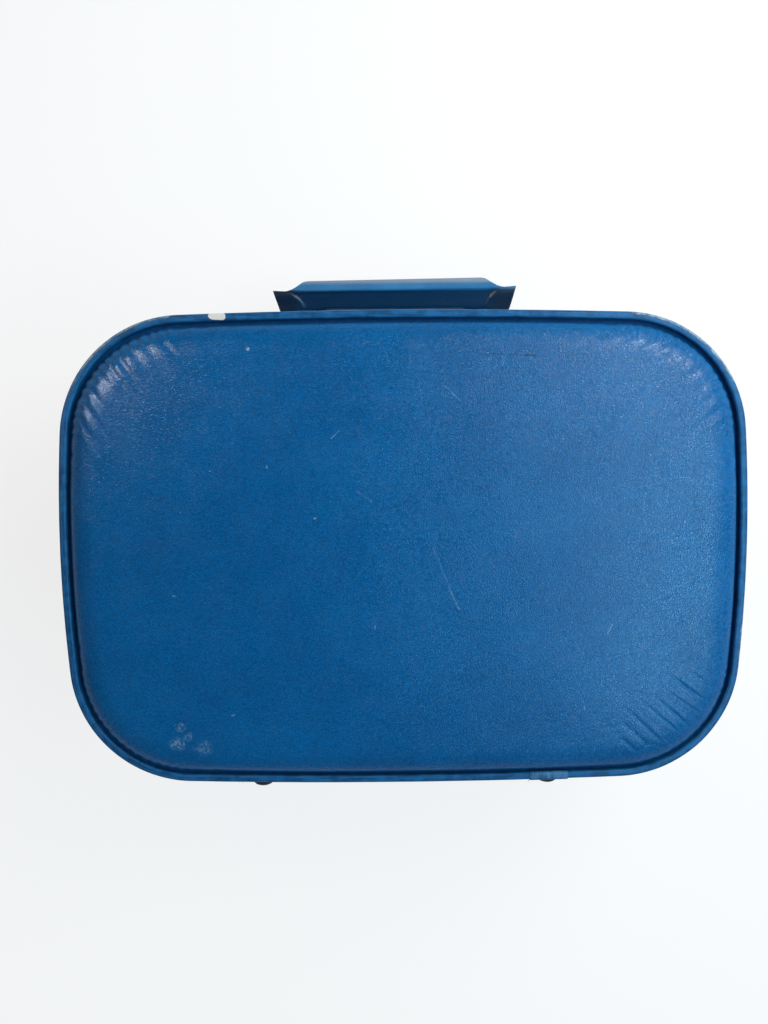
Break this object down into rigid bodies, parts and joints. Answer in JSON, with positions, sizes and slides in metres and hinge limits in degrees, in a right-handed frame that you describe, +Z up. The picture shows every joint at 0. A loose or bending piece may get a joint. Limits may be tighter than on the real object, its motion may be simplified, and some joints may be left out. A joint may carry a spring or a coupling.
{
  "type": "suitcase",
  "caption": "Small hard-sided suitcase with a padded pleated lid, rounded corners, bound rims, a moulded swinging handle, stop hinges and spring latches.",
  "frame": {"origin": "middle of the flat back cover, on the plane that the case lies on", "axes": "+Z up through the lid, +X along the longest side, -Y towards the handle and latches, +Y towards the hinges and feet"},
  "size_m": [0.406, 0.3228, 0.1519],
  "materials": {
    "grained_vinyl": "fine grain with a soft sheen",
    "rim_binding": "satin, rubbed at the corners",
    "moulded_plastic": "moulded, satin",
    "plated_steel": "plated, slightly dulled",
    "dark_rubber": "matt",
    "fibreboard": "raw board",
    "lining_cloth": "woven lining"
  },
  "bodies": {
    "base": {"base_side_wall": "grained_vinyl", "base_back_board": "fibreboard", "base_back_cover": "grained_vinyl", "base_rim": "rim_binding", "base_frame": "fibreboard", "base_lining": "lining_cloth", "hinge_left_base_leaf": "plated_steel", "hinge_left_pin": "plated_steel", "latch_left_lock_case": "plated_steel", "latch_left_spring": "plated_steel", "handle_bracket_left": "plated_steel", "handle_pin_left": "plated_steel", "foot_base_left": "dark_rubber", "rivet_hinge_left_base_leaf_first": "plated_steel", "rivet_hinge_left_base_leaf_second": "plated_steel", "rivet_latch_left_lock_case": "plated_steel", "rivet_handle_bracket_left_low": "plated_steel", "rivet_handle_bracket_left_high": "plated_steel", "hinge_right_base_leaf": "plated_steel", "hinge_right_pin": "plated_steel", "latch_right_lock_case": "plated_steel", "latch_right_spring": "plated_steel", "handle_bracket_right": "plated_steel", "handle_pin_right": "plated_steel", "foot_base_right": "dark_rubber", "rivet_hinge_right_base_leaf_first": "plated_steel", "rivet_hinge_right_base_leaf_second": "plated_steel", "rivet_latch_right_lock_case": "plated_steel", "rivet_handle_bracket_right_low": "plated_steel", "rivet_handle_bracket_right_high": "plated_steel"},
    "lid": {"lid_side_wall": "grained_vinyl", "lid_top_board": "fibreboard", "lid_padded_cover": "grained_vinyl", "lid_rim": "rim_binding", "lid_valance": "plated_steel", "lid_lining": "lining_cloth", "lid_pocket": "lining_cloth", "hinge_left_lid_leaf": "plated_steel", "latch_left_keeper": "plated_steel", "latch_left_hasp_pin": "plated_steel", "foot_lid_left": "dark_rubber", "rivet_hinge_left_lid_leaf_first": "plated_steel", "rivet_hinge_left_lid_leaf_second": "plated_steel", "rivet_latch_left_keeper_first": "plated_steel", "rivet_latch_left_keeper_second": "plated_steel", "hinge_right_lid_leaf": "plated_steel", "latch_right_keeper": "plated_steel", "latch_right_hasp_pin": "plated_steel", "foot_lid_right": "dark_rubber", "rivet_hinge_right_lid_leaf_first": "plated_steel", "rivet_hinge_right_lid_leaf_second": "plated_steel", "rivet_latch_right_keeper_first": "plated_steel", "rivet_latch_right_keeper_second": "plated_steel"},
    "handle": {"handle_grip": "moulded_plastic"},
    "left_slide": {"latch_left_slide": "plated_steel"},
    "left_hasp": {"latch_left_hasp": "plated_steel"},
    "right_slide": {"latch_right_slide": "plated_steel"},
    "right_hasp": {"latch_right_hasp": "plated_steel"}
  },
  "joints": [
    {"name": "lid_hinge", "type": "hinge", "parent": "base", "child": "lid", "pos_m": [0, 0.14089, 0.092], "axis": [-1, 0, 0], "range_deg": [0, 100]},
    {"name": "handle_swing", "type": "hinge", "parent": "base", "child": "handle", "pos_m": [0.003, -0.14451, 0.055], "axis": [1, 0, 0], "range_deg": [-72, 72]},
    {"name": "left_button", "type": "slide", "parent": "base", "child": "left_slide", "axis": [-1, 0, 0], "range_m": [0, 0.007], "stiffness_N_per_m": 150, "springref_m": -0.004, "deforming": ["latch_left_spring"]},
    {"name": "left_hasp_turn", "type": "hinge", "parent": "lid", "child": "left_hasp", "pos_m": [-0.107, -0.14172, 0.098], "axis": [-1, 0, 0], "range_deg": [0, 110]},
    {"name": "right_button", "type": "slide", "parent": "base", "child": "right_slide", "axis": [1, 0, 0], "range_m": [0, 0.007], "stiffness_N_per_m": 150, "springref_m": -0.004, "deforming": ["latch_right_spring"]},
    {"name": "right_hasp_turn", "type": "hinge", "parent": "lid", "child": "right_hasp", "pos_m": [0.107, -0.14172, 0.098], "axis": [-1, 0, 0], "range_deg": [0, 110]}
  ]
}
